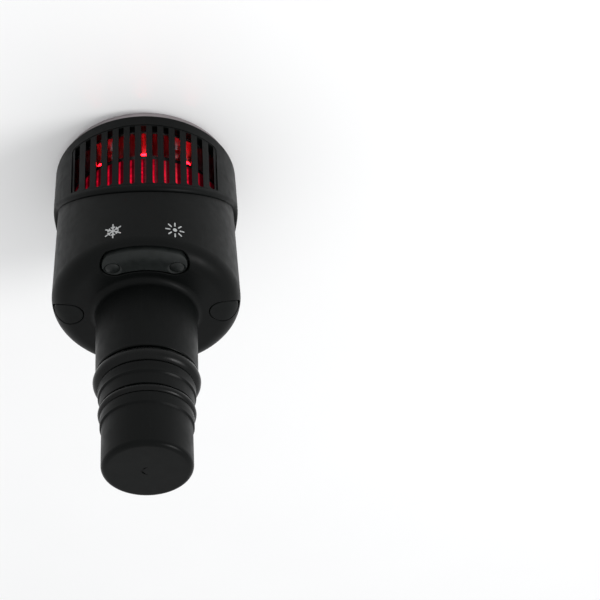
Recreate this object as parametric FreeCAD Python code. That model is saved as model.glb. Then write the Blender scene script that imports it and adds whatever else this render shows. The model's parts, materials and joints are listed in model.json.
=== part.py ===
import FreeCAD, Part
import math
import os

os.makedirs("parts", exist_ok=True)

V = FreeCAD.Vector
Z_AXIS = V(0, 0, 1)

# Frame: origin at the centre of the contact plate's outer face. +Z runs along the
# axis towards the shank, -Y is the front, where the two buttons are. Millimetres.

# ---- driving dimensions -------------------------------------------------------

# general clearances
SEAT_GAP = 0.05          # between pieces that are pressed or glued together
SCREW_GAP = 0.02         # screw thread in its hole, per side
EASY_GAP = 0.15          # pieces dropped into a pocket, per side
PANEL_GAP = 0.45         # visible shadow gap around the button pad
RUN_GAP = 0.04           # fan shaft in its bearing, per side
BUTTON_GAP = 0.10        # button in its hole, per side

# the vent ring's outer radius sets the width of the whole head
RING_R = 21.95

# contact plate and cooling stack, from the plate upwards
PLATE_SETBACK = 1.35     # of the plate's rim behind the ring's face
PLATE_T = 2.2
PLATE_EDGE_R = 1.0
SEAL_T = 0.2
FLANGE_T = 3.0
MODULE_SIDE = 23.0
CERAMIC_T = 0.8
PELLET_SIDE = 1.3
PELLET_PITCH = 2.5
PELLETS_PER_ROW = 8
SINK_BASE_T = 1.2
SINK_GAP = 6.4           # open height above the sink base, where the pins stand
PIN_SIDE = 1.1
PIN_PITCH = 3.0
PIN_FIELD_R = 12.0
BOSS_R = 1.9
SINK_SCREW_X = 7.5
LED_BOARD_T = 1.0
LED_SIZE = (2.0, 1.4, 0.8)
LED_ANGLES = (-32, 0, 32, 148, 180, 212)
SENSOR_R = 0.6
SINK_SCREW_HEAD_R = 1.8
SINK_SCREW_HEAD_H = 1.3

# fan
FAN_HEIGHT = 9.0
FAN_WALL = 2.6
FAN_R = 15.3
FAN_TIP_GAP = 0.4
FAN_HUB_R = 5.2
FAN_HUB_WALL = 1.0
FAN_SPIDER_T = 1.5
FAN_STRUT_W = 1.6
FAN_STRUT_OFFSET_DEG = 22
FAN_BLADES = 7
FAN_BLADE_T = 0.8
FAN_BLADE_TILT = 38.0
SHAFT_R = 1.0
BEARING_WALL = 0.9
FAN_SCREW_R = 0.8
FAN_SCREW_ANGLES = (45, 135, 225, 315)
FAN_SCREW_TIP_ROOM = 1.7

# vent ring
RING_TAPER = 0.25
RING_TAPER_H = 10.0
RING_END_ROUND = 0.7
RING_LIP_ROUND = 1.0
RING_WALL = 2.05
FLANGE_LAND = 1.85       # how far the sink base overlaps the ring's inner flange
SEAM_FRONT_Z = 27.4      # the seam dips towards the shank at the front and the back
SEAM_SLOPE_DEG = 32.8
SEAM_SIDE_ROUND = 10.0
LIGHT_GUIDE_T = 2.0
LIGHT_GUIDE_H = 10.4

# vent grilles
VENT_COUNT = 13
VENT_PITCH = 2.61
VENT_W = 1.2
VENT_TOP_Z = 6.0
VENT_END_LAND = 2.65     # from the round end of a slot to the seam
WINDOW_HALF_W = 17.0
WINDOW_LAND = 0.35       # grille border above and below the slots
WINDOW_ROUND = 1.0
GRILLE_RECESS = 0.25
GRILLE_FLANGE_T = 0.75
GRILLE_FLANGE_W = 0.7

# lower shell with neck and shank
SHELL_STEP = 1.05        # how far the shell's mouth stands back from the ring's face
SHELL_MOUTH_Z = 15.0
SHELL_FLARE = 0.9        # growth in radius from the mouth to the rim
FLOOR_Z = 44.9
RIM_ROUND = 4.1
SHELL_WALL = 1.9
TONGUE_H = 1.2
TONGUE_T = 0.75
NECK_ROOT_R = 11.6
NECK_END_R = 11.45
NECK_ROOT_ROUND = 1.5
NECK_H = 18.6
LAND_R = 10.85
LAND_H = 2.6
WAIST_R = 10.5
WAIST_H = 3.3
COLLAR_R = 10.35
COLLAR_H = 2.9
SHANK_R = 10.0
SHANK_LEN = 10.8
SHANK_END_ROUND = 1.2
SHANK_END_WALL = 1.9
EDGE_ROUND = 0.35        # on the steps of the neck and the shank
OPENING_ROUND = 0.2      # on the outer edges of openings and of the pieces in them
GATE_MARK_R = 1.3
GATE_MARK_W = 0.45       # of the crescent at its widest
GATE_MARK_DEPTH = 0.2

# rings on the shank
BIG_RING_SECTION_R = 1.8
BIG_RING_R = 12.0
SMALL_RING_SECTION_R = 1.0
SMALL_RING_R = 10.8

# case screws and the plugs over them
PLUG_R = 3.3
PLUG_LAND = 0.8          # from the side of the head to the plug
PLUG_DEPTH = 5.4         # from the floor of the head down to the plug's seat
HEAD_ROOM = 1.4          # between a case screw and its plug
CASE_SCREW_R = 1.0
CASE_SCREW_HEAD_R = 1.9
CASE_SCREW_HEAD_H = 1.6
CASE_SCREW_LEN = 13.0
CASE_SCREW_SEAT_T = 6.5
POST_R = 2.1
CASE_BOSS_WALL = 0.85

# button pad and buttons
PAD_INSET = 0.17         # of the pad's middle line from the centre line of the rim's round
PAD_HALF_W = 3.2
PAD_END_DEG = 22.6
PAD_SKIN_T = 0.8
PAD_SKIN_W = 0.6
BUTTON_INSET = 0.70
BUTTON_DEG = 25.0
BUTTON_R = 1.6
BUTTON_RISE = 0.40
BUTTON_DOME_H = 0.55
BUTTON_FLANGE_R = 2.1
BUTTON_FLANGE_T = 0.4
BUTTON_TRAVEL = 0.3
MOAT_W = 0.4
MOAT_DEPTH = 0.2

# electronics
SWITCH_SIDE = 3.2
SWITCH_H = 1.6
SWITCH_STEM_R = 0.8
SWITCH_STEM_FREE = 0.6
BOARD_T = 1.0
BOARD_GAP = 0.9
BOARD_POST_R = 2.0
BOARD_POST_PLACES = ((0.0, -10.5), (9.5, 10.0), (-9.5, 10.0))
BOARD_SCREW_HEAD_H = 1.2
CHIPS = ((-6.0, 2.5, 6.0, 6.0, 1.2), (5.5, 1.5, 4.0, 5.0, 1.5), (0.0, -6.0, 5.0, 4.0, 1.0))
SOCKET_W = 8.94
SOCKET_H = 3.2
SOCKET_LEN = 7.4
SOCKET_WALL = 0.32
SOCKET_BACK_T = 1.2
SOCKET_TONGUE = (6.2, 5.9, 0.7)
SOCKET_TONGUE_Y = 0.6    # from the socket's back to the tongue's root
SOCKET_INSET = 0.9       # how far the socket's mouth lies inside the shell surface

# battery
CELL_R = 7.0
CELL_LEN = 43.0
CELL_ROUND = 0.6
CELL_CAP_H = 1.0
SLEEVE_WALL = 2.4
SLEEVE_LEN = 17.4
BATTERY_PAD_R = 6.6

# printed icons
PRINT_T = 0.06
ICON_DEG = 18.6
ICON_DROP = 6.8          # from the floor of the head down to the icon's centre
ICON_R = 2.15
ICON_LINE_W = 0.31
SUN_RAYS = 8
SUN_DOT_R = 0.48
SUN_RAY_LEN = 1.15
SUN_RAY_MIDDLE_R = 1.65
FLAKE_TWIG_LEN = 0.5
FLAKE_TWIG_R = 0.85
FLAKE_TWIG_DEG = 50

# ---- derived positions ----------------------------------------------------------

SEAM_SLOPE = math.tan(math.radians(SEAM_SLOPE_DEG))
seam_z_at_axis = SEAM_FRONT_Z - SEAM_SLOPE * RING_R
ring_bore_r = RING_R - RING_WALL
plate_r = RING_R - PLATE_SETBACK
shell_mouth_r = RING_R - SHELL_STEP
shell_rim_r = shell_mouth_r + SHELL_FLARE
rim_mid_r = shell_rim_r - RIM_ROUND
plug_x = shell_rim_r - PLUG_LAND - PLUG_R
neck_room = plug_x - PLUG_R - EASY_GAP - 2 * OPENING_ROUND - NECK_ROOT_R
neck_root_round = min(NECK_ROOT_ROUND, neck_room)
pad_mid_r = rim_mid_r - PAD_INSET
button_mid_r = rim_mid_r - BUTTON_INSET

plate_back_z = PLATE_T
flange_z = plate_back_z + SEAL_T
shelf_z = flange_z + FLANGE_T
sink_base_r = ring_bore_r - EASY_GAP
light_ring_r = ring_bore_r - GRILLE_FLANGE_T - 2 * EASY_GAP
mouth_r = sink_base_r - FLANGE_LAND
sink_top_z = shelf_z + SINK_BASE_T
led_board_z = sink_top_z + SINK_GAP
fan_z = led_board_z + LED_BOARD_T
fan_top_z = fan_z + FAN_HEIGHT
fan_screw_circle_r = FAN_R - FAN_WALL / 2
led_board_r = light_ring_r
sink_screw_y = MODULE_SIDE / 2 + BOSS_R + 2 * EASY_GAP

cavity_floor_z = FLOOR_Z - SHELL_WALL
neck_end_z = FLOOR_Z + NECK_H
big_groove_w = 2 * BIG_RING_SECTION_R + 2 * SEAT_GAP
land_z = neck_end_z + big_groove_w
waist_z = land_z + LAND_H
small_groove_z = waist_z + WAIST_H
small_groove_w = 2 * SMALL_RING_SECTION_R + 2 * SEAT_GAP
collar_z = small_groove_z + small_groove_w
shank_z = collar_z + COLLAR_H
end_z = shank_z + SHANK_LEN
big_ring_mid_r = BIG_RING_R - BIG_RING_SECTION_R
small_ring_mid_r = SMALL_RING_R - SMALL_RING_SECTION_R

plug_seat_z = FLOOR_Z - PLUG_DEPTH
head_seat_z = plug_seat_z - CASE_SCREW_HEAD_H - HEAD_ROOM
post_top_z = head_seat_z - CASE_SCREW_SEAT_T

button_flange_top_z = FLOOR_Z - SHELL_WALL - SEAT_GAP - PAD_SKIN_T - EASY_GAP
button_bottom_z = button_flange_top_z - BUTTON_FLANGE_T
switch_top_z = button_bottom_z - SWITCH_STEM_FREE
board_top_z = switch_top_z - SWITCH_H
board_z = board_top_z - BOARD_T
board_r = shell_rim_r - SHELL_WALL - BOARD_GAP

sleeve_bore_r = CELL_R + EASY_GAP + SLEEVE_WALL
cell_bore_r = CELL_R + EASY_GAP
cell_bore_end_z = end_z - SHANK_END_WALL
cell_z = cell_bore_end_z - EASY_GAP - CELL_LEN
sleeve_end_z = cavity_floor_z + SLEEVE_LEN + SEAT_GAP


# ---- helpers ---------------------------------------------------------------------

def corner_arc(before, here, after, radius):
    """Start, middle and end of the tangent arc that rounds a corner."""
    towards_before = (before - here).normalize()
    towards_after = (after - here).normalize()
    half_angle = towards_before.getAngle(towards_after) / 2
    reach = radius / math.tan(half_angle)
    inward = (towards_before + towards_after).normalize()
    middle = here + inward * (radius / math.sin(half_angle) - radius)
    return here + towards_before * reach, middle, here + towards_after * reach


def outline_face(corners, to_point):
    """A flat face from (u, v) or (u, v, round) corners."""
    points = [to_point(corner[0], corner[1]) for corner in corners]
    rounds = [corner[2] if len(corner) > 2 else 0.0 for corner in corners]
    edges = []
    ends = []
    for index, here in enumerate(points):
        if rounds[index] > 0:
            after = points[(index + 1) % len(points)]
            start, middle, end = corner_arc(points[index - 1], here, after, rounds[index])
            edges.append(Part.Arc(start, middle, end).toShape())
            ends.append((start, end))
        else:
            ends.append((here, here))
    for index in range(len(points)):
        start = ends[index][1]
        end = ends[(index + 1) % len(points)][0]
        if start.distanceToPoint(end) > 1e-6:
            edges.append(Part.makeLine(start, end))
    wire = Part.Wire(Part.__sortEdges__(edges))
    return Part.Face(wire)


def turned(corners):
    """A solid of revolution about Z from (radius, height, round) corners."""
    face = outline_face(corners, lambda radius, height: V(radius, 0, height))
    return face.revolve(V(0, 0, 0), Z_AXIS, 360)


def rod(radius, z_low, z_high, x=0.0, y=0.0):
    return Part.makeCylinder(radius, z_high - z_low, V(x, y, z_low), Z_AXIS)


def tube(outer_r, inner_r, z_low, z_high, x=0.0, y=0.0):
    return rod(outer_r, z_low, z_high, x, y).cut(rod(inner_r, z_low - 1, z_high + 1, x, y))


def block(size_x, size_y, z_low, z_high, x=0.0, y=0.0):
    corner = V(x - size_x / 2, y - size_y / 2, z_low)
    return Part.makeBox(size_x, size_y, z_high - z_low, corner)


def turned_about_z(shape, degrees):
    copy = shape.copy()
    copy.rotate(V(0, 0, 0), Z_AXIS, degrees)
    return copy


def polar(radius, degrees_from_front):
    """X and Y of a point at an angle from the front (-Y), positive towards +X."""
    angle = math.radians(degrees_from_front)
    return radius * math.sin(angle), -radius * math.cos(angle)


def both_sides(make):
    """The same piece on the +X and the -X side."""
    return Part.makeCompound([make(plug_x), make(-plug_x)])


def machine_screw(x, y, seat_z, shank_r, shank_len, head_r, head_h, head_up=True):
    """A plain cap screw with a cross slot; the head stands on the seat."""
    direction = 1 if head_up else -1
    low, high = sorted((seat_z, seat_z + direction * head_h))
    head = rod(head_r, low, high, x, y)
    top = high if head_up else low
    slot_low, slot_high = sorted((top, top - direction * head_h / 2))
    for size_x, size_y in ((head_r * 1.2, head_r * 0.3), (head_r * 0.3, head_r * 1.2)):
        head = head.cut(block(size_x, size_y, slot_low, slot_high, x, y))
    tip_z = seat_z - direction * shank_len
    low, high = sorted((seat_z, tip_z))
    return head.fuse(rod(shank_r, low, high, x, y))


def save(shape, node):
    solids = shape.Solids
    result = solids[0] if len(solids) == 1 else Part.makeCompound(solids)
    result.exportStep(os.path.join("parts", node + ".step"))


# ---- shared volumes ----------------------------------------------------------------

def seam_volume(offset):
    """Everything on the plate side of the saddle-shaped seam, moved by offset along Z."""
    reach = 1.5 * RING_R
    low = -2 * PLATE_T
    edge_z = seam_z_at_axis + SEAM_SLOPE * reach + offset
    corners = [(-reach, low), (reach, low), (reach, edge_z),
               (0.0, seam_z_at_axis + offset, SEAM_SIDE_ROUND), (-reach, edge_z)]
    face = outline_face(corners, lambda across, height: V(-reach, across, height))
    return face.extrude(V(2 * reach, 0, 0))


def shell_radius(z):
    share = (z - SHELL_MOUTH_Z) / (FLOOR_Z - SHELL_MOUTH_Z)
    return shell_mouth_r + share * (shell_rim_r - shell_mouth_r)


def head_envelope(inset, low_z):
    """The lower shell's outer form, shrunk by inset, filled, from low_z to the floor."""
    floor = FLOOR_Z - inset
    return turned([(0, low_z), (shell_radius(low_z) - inset, low_z),
                   (shell_rim_r - inset, floor, RIM_ROUND - inset), (0, floor)])


def kidney(half_width, z_low, z_high):
    """A curved slot-shaped prism along the pad's arc."""
    outer_r = pad_mid_r + half_width
    inner_r = pad_mid_r - half_width

    def on_arc(radius, degrees):
        x, y = polar(radius, degrees)
        return V(x, y, z_low)

    def end_point(side):
        middle = on_arc(pad_mid_r, side * PAD_END_DEG)
        x, y = polar(1.0, side * (PAD_END_DEG + 90))
        return middle + V(x, y, 0) * half_width

    outer = Part.Arc(on_arc(outer_r, -PAD_END_DEG), on_arc(outer_r, 0), on_arc(outer_r, PAD_END_DEG))
    right = Part.Arc(on_arc(outer_r, PAD_END_DEG), end_point(1), on_arc(inner_r, PAD_END_DEG))
    inner = Part.Arc(on_arc(inner_r, PAD_END_DEG), on_arc(inner_r, 0), on_arc(inner_r, -PAD_END_DEG))
    left = Part.Arc(on_arc(inner_r, -PAD_END_DEG), end_point(-1), on_arc(outer_r, -PAD_END_DEG))
    wire = Part.Wire([arc.toShape() for arc in (outer, right, inner, left)])
    return Part.Face(wire).extrude(V(0, 0, z_high - z_low))


def edges_on(shape, wall, low_z):
    """The edges above low_z that lie on the surface of another solid."""
    found = []
    for edge in shape.Edges:
        middle = edge.valueAt((edge.FirstParameter + edge.LastParameter) / 2)
        if middle.z > low_z and wall.Shells[0].distToShape(Part.Vertex(middle))[0] < 1e-4:
            found.append(edge)
    return found


def lies_across(edge):
    """False for the edges that run along Z."""
    return abs(edge.tangentAt(edge.FirstParameter).z) < 0.9


def open_softly(shape, cutter):
    """Cuts an opening and rounds its outer edge."""
    opened = shape.cut(cutter)
    rim = [edge for edge in edges_on(opened, cutter, cavity_floor_z) if lies_across(edge)]
    return opened.makeFillet(OPENING_ROUND, rim)


def post_room(z_low, z_high, gap):
    """Room around the two screw posts of the vent ring and the webs behind them."""
    def room(x):
        web = block(RING_R, POST_R + 2 * gap, z_low, z_high, x + math.copysign(RING_R / 2, x))
        return rod(POST_R + gap, z_low, z_high, x).fuse(web)

    return both_sides(room)


# ---- contact plate and cooling stack --------------------------------------------------

def sink_screw_places():
    return [(sx * SINK_SCREW_X, sy * sink_screw_y) for sx in (1, -1) for sy in (1, -1)]


def contact_plate():
    plate = turned([(0, 0), (plate_r, 0, PLATE_EDGE_R), (plate_r, PLATE_T), (0, PLATE_T)])
    for x, y in sink_screw_places():
        plate = plate.fuse(rod(BOSS_R, PLATE_T, shelf_z, x, y))
        plate = plate.cut(rod(CASE_SCREW_R + SCREW_GAP, PLATE_T / 2, shelf_z, x, y))
    sensor_x = (MODULE_SIDE / 2 + mouth_r) / 2
    pocket = rod(SENSOR_R + SEAT_GAP, PLATE_T / 2, PLATE_T, sensor_x)
    return plate.cut(pocket).removeSplitter()


def stack_room(z_low, z_high, module_gap):
    """Room around the thermoelectric module and the screw bosses of the plate."""
    side = MODULE_SIDE + 2 * module_gap
    room = block(side, side, z_low, z_high)
    for x, y in sink_screw_places():
        room = room.fuse(rod(BOSS_R + EASY_GAP, z_low, z_high, x, y))
    return room


def plate_seal():
    seal = tube(plate_r - 2 * EASY_GAP, mouth_r + EASY_GAP, plate_back_z, flange_z)
    return seal.cut(stack_room(plate_back_z, flange_z, EASY_GAP))


def temperature_sensor():
    sensor_x = (MODULE_SIDE / 2 + mouth_r) / 2
    return rod(SENSOR_R, PLATE_T / 2, PLATE_T + SENSOR_R, sensor_x)


def ceramic(z_low):
    return block(MODULE_SIDE, MODULE_SIDE, z_low, z_low + CERAMIC_T)


def peltier_pellets():
    low = plate_back_z + CERAMIC_T
    high = shelf_z - CERAMIC_T
    first = -PELLET_PITCH * (PELLETS_PER_ROW - 1) / 2
    pellets = []
    for row in range(PELLETS_PER_ROW):
        for column in range(PELLETS_PER_ROW):
            x = first + column * PELLET_PITCH
            y = first + row * PELLET_PITCH
            pellets.append(block(PELLET_SIDE, PELLET_SIDE, low, high, x, y))
    return Part.makeCompound(pellets)


def insulation_ring():
    low = plate_back_z + SEAT_GAP
    high = shelf_z - SEAT_GAP
    ring = rod(mouth_r - EASY_GAP, low, high)
    ring = ring.cut(stack_room(low, high, EASY_GAP / 2))
    sensor_x = (MODULE_SIDE / 2 + mouth_r) / 2
    return ring.cut(rod(SENSOR_R + EASY_GAP, low, high, sensor_x))


def fan_screw_places():
    return [polar(fan_screw_circle_r, angle) for angle in FAN_SCREW_ANGLES]


def heat_sink():
    sink = rod(sink_base_r, shelf_z, sink_top_z)
    sink = sink.cut(post_room(shelf_z, sink_top_z, EASY_GAP))
    for x, y in sink_screw_places():
        sink = sink.cut(rod(CASE_SCREW_R + EASY_GAP, shelf_z, sink_top_z, x, y))
    steps = int(PIN_FIELD_R / PIN_PITCH)
    pin_top_z = led_board_z - EASY_GAP
    pins = []
    for row in range(-steps, steps + 1):
        for column in range(-steps, steps + 1):
            x = column * PIN_PITCH
            y = row * PIN_PITCH
            if math.hypot(x, y) <= PIN_FIELD_R:
                pins.append(block(PIN_SIDE, PIN_SIDE, shelf_z + SINK_BASE_T / 2, pin_top_z, x, y))
    for x, y in fan_screw_places():
        pins.append(rod(FAN_SCREW_R + FAN_SCREW_R, shelf_z + SINK_BASE_T / 2, led_board_z, x, y))
    sink = sink.multiFuse(pins).removeSplitter()
    for x, y in fan_screw_places():
        sink = sink.cut(rod(FAN_SCREW_R + SCREW_GAP, sink_top_z, led_board_z, x, y))
    return sink


def sink_screws():
    length = shelf_z + SINK_BASE_T - PLATE_T / 2 - 2 * EASY_GAP
    return Part.makeCompound([
        machine_screw(x, y, sink_top_z, CASE_SCREW_R, length, SINK_SCREW_HEAD_R, SINK_SCREW_HEAD_H)
        for x, y in sink_screw_places()])


def led_board():
    board = tube(led_board_r, FAN_R - FAN_WALL, led_board_z, fan_z)
    board = board.cut(post_room(led_board_z, fan_z, EASY_GAP))
    for x, y in fan_screw_places():
        board = board.cut(rod(FAN_SCREW_R + EASY_GAP, led_board_z, fan_z, x, y))
    return board


def leds():
    width, depth, height = LED_SIZE
    chips = []
    for angle in LED_ANGLES:
        chip = block(width, depth, led_board_z - height, led_board_z, 0, -(led_board_r - depth / 2))
        chips.append(turned_about_z(chip, angle))
    return Part.makeCompound(chips)


def light_guide(side):
    """Half of the clear ring that carries the light behind the vents; side -1 is the front."""
    outer_r = led_board_r
    guide = tube(outer_r, outer_r - LIGHT_GUIDE_T, fan_z, fan_z + LIGHT_GUIDE_H)
    half = block(4 * outer_r, outer_r, fan_z, fan_z + LIGHT_GUIDE_H, 0, side * outer_r / 2)
    guide = guide.common(half)
    return guide.cut(post_room(fan_z, fan_z + LIGHT_GUIDE_H, EASY_GAP))


# ---- fan ------------------------------------------------------------------------------

def fan_frame():
    inner_r = FAN_R - FAN_WALL
    spider_z = fan_top_z - FAN_SPIDER_T
    frame = tube(FAN_R, inner_r, fan_z, fan_top_z)
    frame = frame.cut(post_room(fan_z, fan_top_z, EASY_GAP))
    spider = rod(FAN_HUB_R, spider_z, fan_top_z)
    strut_len = inner_r + FAN_WALL / 2
    for angle in FAN_SCREW_ANGLES:
        strut = block(FAN_STRUT_W, strut_len, spider_z, fan_top_z, 0, -strut_len / 2)
        spider = spider.fuse(turned_about_z(strut, angle - FAN_STRUT_OFFSET_DEG))
    frame = frame.fuse(spider).removeSplitter()
    sleeve_r = SHAFT_R + RUN_GAP + BEARING_WALL + SEAT_GAP
    frame = frame.cut(rod(sleeve_r, spider_z, fan_top_z))
    for x, y in fan_screw_places():
        frame = frame.cut(rod(FAN_SCREW_R + EASY_GAP, fan_z, fan_top_z, x, y))
    return frame


def fan_bearing():
    bore_r = SHAFT_R + RUN_GAP
    return tube(bore_r + BEARING_WALL, bore_r, fan_z + FAN_HEIGHT / 2, fan_top_z)


def fan_rotor():
    """Cup-shaped hub with its shaft and tilted blades; it turns about Z."""
    cup_low = fan_z + 2 * FAN_TIP_GAP
    cup_high = fan_top_z - FAN_SPIDER_T - FAN_TIP_GAP
    hub = rod(FAN_HUB_R, cup_low, cup_high)
    hub = hub.cut(rod(FAN_HUB_R - FAN_HUB_WALL, cup_low + FAN_HUB_WALL, cup_high))
    hub = hub.fuse(rod(SHAFT_R, cup_low, fan_top_z - FAN_TIP_GAP))
    tip_r = FAN_R - FAN_WALL - FAN_TIP_GAP
    root_r = FAN_HUB_R - FAN_HUB_WALL / 2
    span = tip_r - root_r
    chord = (cup_high - cup_low) / math.cos(math.radians(FAN_BLADE_TILT)) + FAN_BLADE_T
    middle_z = (cup_low + cup_high) / 2
    sweep = tube(tip_r, root_r, cup_low, cup_high)
    for index in range(FAN_BLADES):
        corner = V(-FAN_BLADE_T / 2, -tip_r - 1, middle_z - chord / 2)
        blade = Part.makeBox(FAN_BLADE_T, span + 1, chord, corner)
        blade.rotate(V(0, 0, middle_z), V(0, 1, 0), FAN_BLADE_TILT)
        blade = turned_about_z(blade, index * 360 / FAN_BLADES)
        hub = hub.fuse(blade.common(sweep))
    return hub


def fan_screws():
    head_r = FAN_WALL / 2 - EASY_GAP / 2
    length = fan_top_z - sink_top_z - FAN_SCREW_TIP_ROOM
    return Part.makeCompound([
        machine_screw(x, y, fan_top_z, FAN_SCREW_R, length, head_r, FAN_SCREW_R)
        for x, y in fan_screw_places()])


# ---- vent ring and grilles ----------------------------------------------------------------

def window_volume(side, grow, z_grow):
    """The vent window, pushed along Y through one side of the ring."""
    top = VENT_TOP_Z - WINDOW_LAND - grow
    half_w = WINDOW_HALF_W + grow
    reach = 1.2 * RING_R
    tall = 2 * SEAM_FRONT_Z
    corners = [(-half_w, top, WINDOW_ROUND), (half_w, top, WINDOW_ROUND), (half_w, tall), (-half_w, tall)]
    face = outline_face(corners, lambda across, height: V(across, 0, height))
    prism = face.extrude(V(0, side * reach, 0))
    return prism.common(seam_volume(WINDOW_LAND - VENT_END_LAND + z_grow))


def vent_ring():
    body_z = flange_z + RING_TAPER_H
    ring = turned([(mouth_r, flange_z), (RING_R - RING_TAPER, flange_z, RING_END_ROUND), (RING_R, body_z),
                   (RING_R, 1.3 * SEAM_FRONT_Z), (ring_bore_r, 1.3 * SEAM_FRONT_Z),
                   (ring_bore_r, shelf_z), (mouth_r, shelf_z)])
    ring = ring.common(seam_volume(0))
    lip = [edge for edge in ring.Edges if is_outer_lip(edge)]
    ring = ring.makeFillet(RING_LIP_ROUND, lip)
    ring = ring.cut(stack_room(flange_z, shelf_z, EASY_GAP))
    for side in (-1, 1):
        ring = ring.cut(window_volume(side, 0, 0))
    web_top = seam_z_at_axis - TONGUE_H
    web_end = ring_bore_r + RING_WALL / 4
    for sign in (1, -1):
        x = sign * plug_x
        post = rod(POST_R, shelf_z, post_top_z, x)
        web = block(web_end - plug_x, POST_R, shelf_z, web_top, sign * (web_end + plug_x) / 2)
        ring = ring.fuse(post).fuse(web)
        ring = ring.cut(rod(CASE_SCREW_R + SCREW_GAP, head_seat_z - CASE_SCREW_LEN - 1, post_top_z, x))
    return ring.removeSplitter()


def is_outer_lip(edge):
    """True for the edges where the seam meets the ring's outer wall."""
    middle = edge.valueAt((edge.FirstParameter + edge.LastParameter) / 2)
    on_wall = abs(math.hypot(middle.x, middle.y) - RING_R) < 0.01
    start = edge.valueAt(edge.FirstParameter)
    return on_wall and middle.z > seam_z_at_axis and abs(start.z - middle.z) > 0.01


def vent_slot(x, side):
    """One slot cut along Y: square at the plate end, round at the seam end."""
    outer_r = RING_R - GRILLE_RECESS
    wall_y = math.sqrt(outer_r ** 2 - x ** 2)
    end_z = seam_z_at_axis + SEAM_SLOPE * wall_y - VENT_END_LAND
    reach = 1.2 * RING_R
    slot = block(VENT_W, reach, VENT_TOP_Z, end_z - VENT_W / 2, x, side * reach / 2)
    round_end = Part.makeCylinder(VENT_W / 2, reach, V(x, 0, end_z - VENT_W / 2), V(0, side, 0))
    return slot.fuse(round_end)


def vent_grille(side):
    """A slotted panel that fills one window and is held by a thin flange behind it."""
    face_r = RING_R - GRILLE_RECESS
    flange_r = ring_bore_r - SEAT_GAP
    inner_r = flange_r - GRILLE_FLANGE_T
    panel = tube(face_r, inner_r, 0, 2 * SEAM_FRONT_Z)
    panel = panel.common(window_volume(side, -EASY_GAP, -EASY_GAP))
    flange = tube(flange_r, inner_r, sink_top_z + SEAT_GAP, 2 * SEAM_FRONT_Z)
    flange = flange.common(window_volume(side, GRILLE_FLANGE_W, GRILLE_FLANGE_W))
    grille = panel.fuse(flange)
    first = -VENT_PITCH * (VENT_COUNT - 1) / 2
    slots = [vent_slot(first + index * VENT_PITCH, side) for index in range(VENT_COUNT)]
    grille = grille.cut(slots[0].multiFuse(slots[1:]))
    grille = grille.cut(rod(flange_r, 0, sink_top_z + SEAT_GAP))
    return grille.cut(post_room(0, 2 * SEAM_FRONT_Z, EASY_GAP)).removeSplitter()


# ---- lower shell, neck and shank --------------------------------------------------------------

def shell_outside(low_z):
    big_groove_r = big_ring_mid_r - BIG_RING_SECTION_R - SEAT_GAP
    small_groove_r = small_ring_mid_r - SMALL_RING_SECTION_R - SEAT_GAP
    return turned([
        (0, low_z),
        (shell_radius(low_z), low_z),
        (shell_rim_r, FLOOR_Z, RIM_ROUND),
        (NECK_ROOT_R, FLOOR_Z, neck_root_round),
        (NECK_END_R, neck_end_z, EDGE_ROUND),
        (big_groove_r, neck_end_z),
        (big_groove_r, land_z),
        (LAND_R, land_z, EDGE_ROUND / 2),
        (LAND_R, waist_z, EDGE_ROUND / 2),
        (WAIST_R, waist_z + EDGE_ROUND),
        (WAIST_R, small_groove_z, EDGE_ROUND / 2),
        (small_groove_r, small_groove_z),
        (small_groove_r, collar_z),
        (COLLAR_R, collar_z, EDGE_ROUND / 2),
        (COLLAR_R, shank_z - EDGE_ROUND),
        (SHANK_R, shank_z),
        (SHANK_R, end_z, SHANK_END_ROUND),
        (0, end_z)])


def shell_inside(low_z):
    return turned([
        (0, low_z),
        (shell_radius(low_z) - SHELL_WALL, low_z),
        (shell_rim_r - SHELL_WALL, cavity_floor_z, RIM_ROUND - SHELL_WALL),
        (sleeve_bore_r, cavity_floor_z),
        (sleeve_bore_r, sleeve_end_z),
        (cell_bore_r, sleeve_end_z),
        (cell_bore_r, cell_bore_end_z),
        (0, cell_bore_end_z)])


def charge_opening(grow):
    """Room for the charging socket through the back wall."""
    half_w = SOCKET_W / 2 + grow
    half_h = SOCKET_H / 2 + grow
    middle_z = board_z - SOCKET_H / 2
    corner_r = 0.99 * half_h
    corners = [(-half_w, middle_z - half_h, corner_r), (half_w, middle_z - half_h, corner_r),
               (half_w, middle_z + half_h, corner_r), (-half_w, middle_z + half_h, corner_r)]
    return outline_face(corners, lambda across, height: V(across, 0, height))


def case_boss(x):
    """Solid column under a plug, trimmed to the shell's outer form."""
    column = rod(PLUG_R + EASY_GAP + CASE_BOSS_WALL, post_top_z + EASY_GAP, FLOOR_Z, x)
    return column.common(head_envelope(SHELL_WALL / 4, post_top_z))


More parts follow.
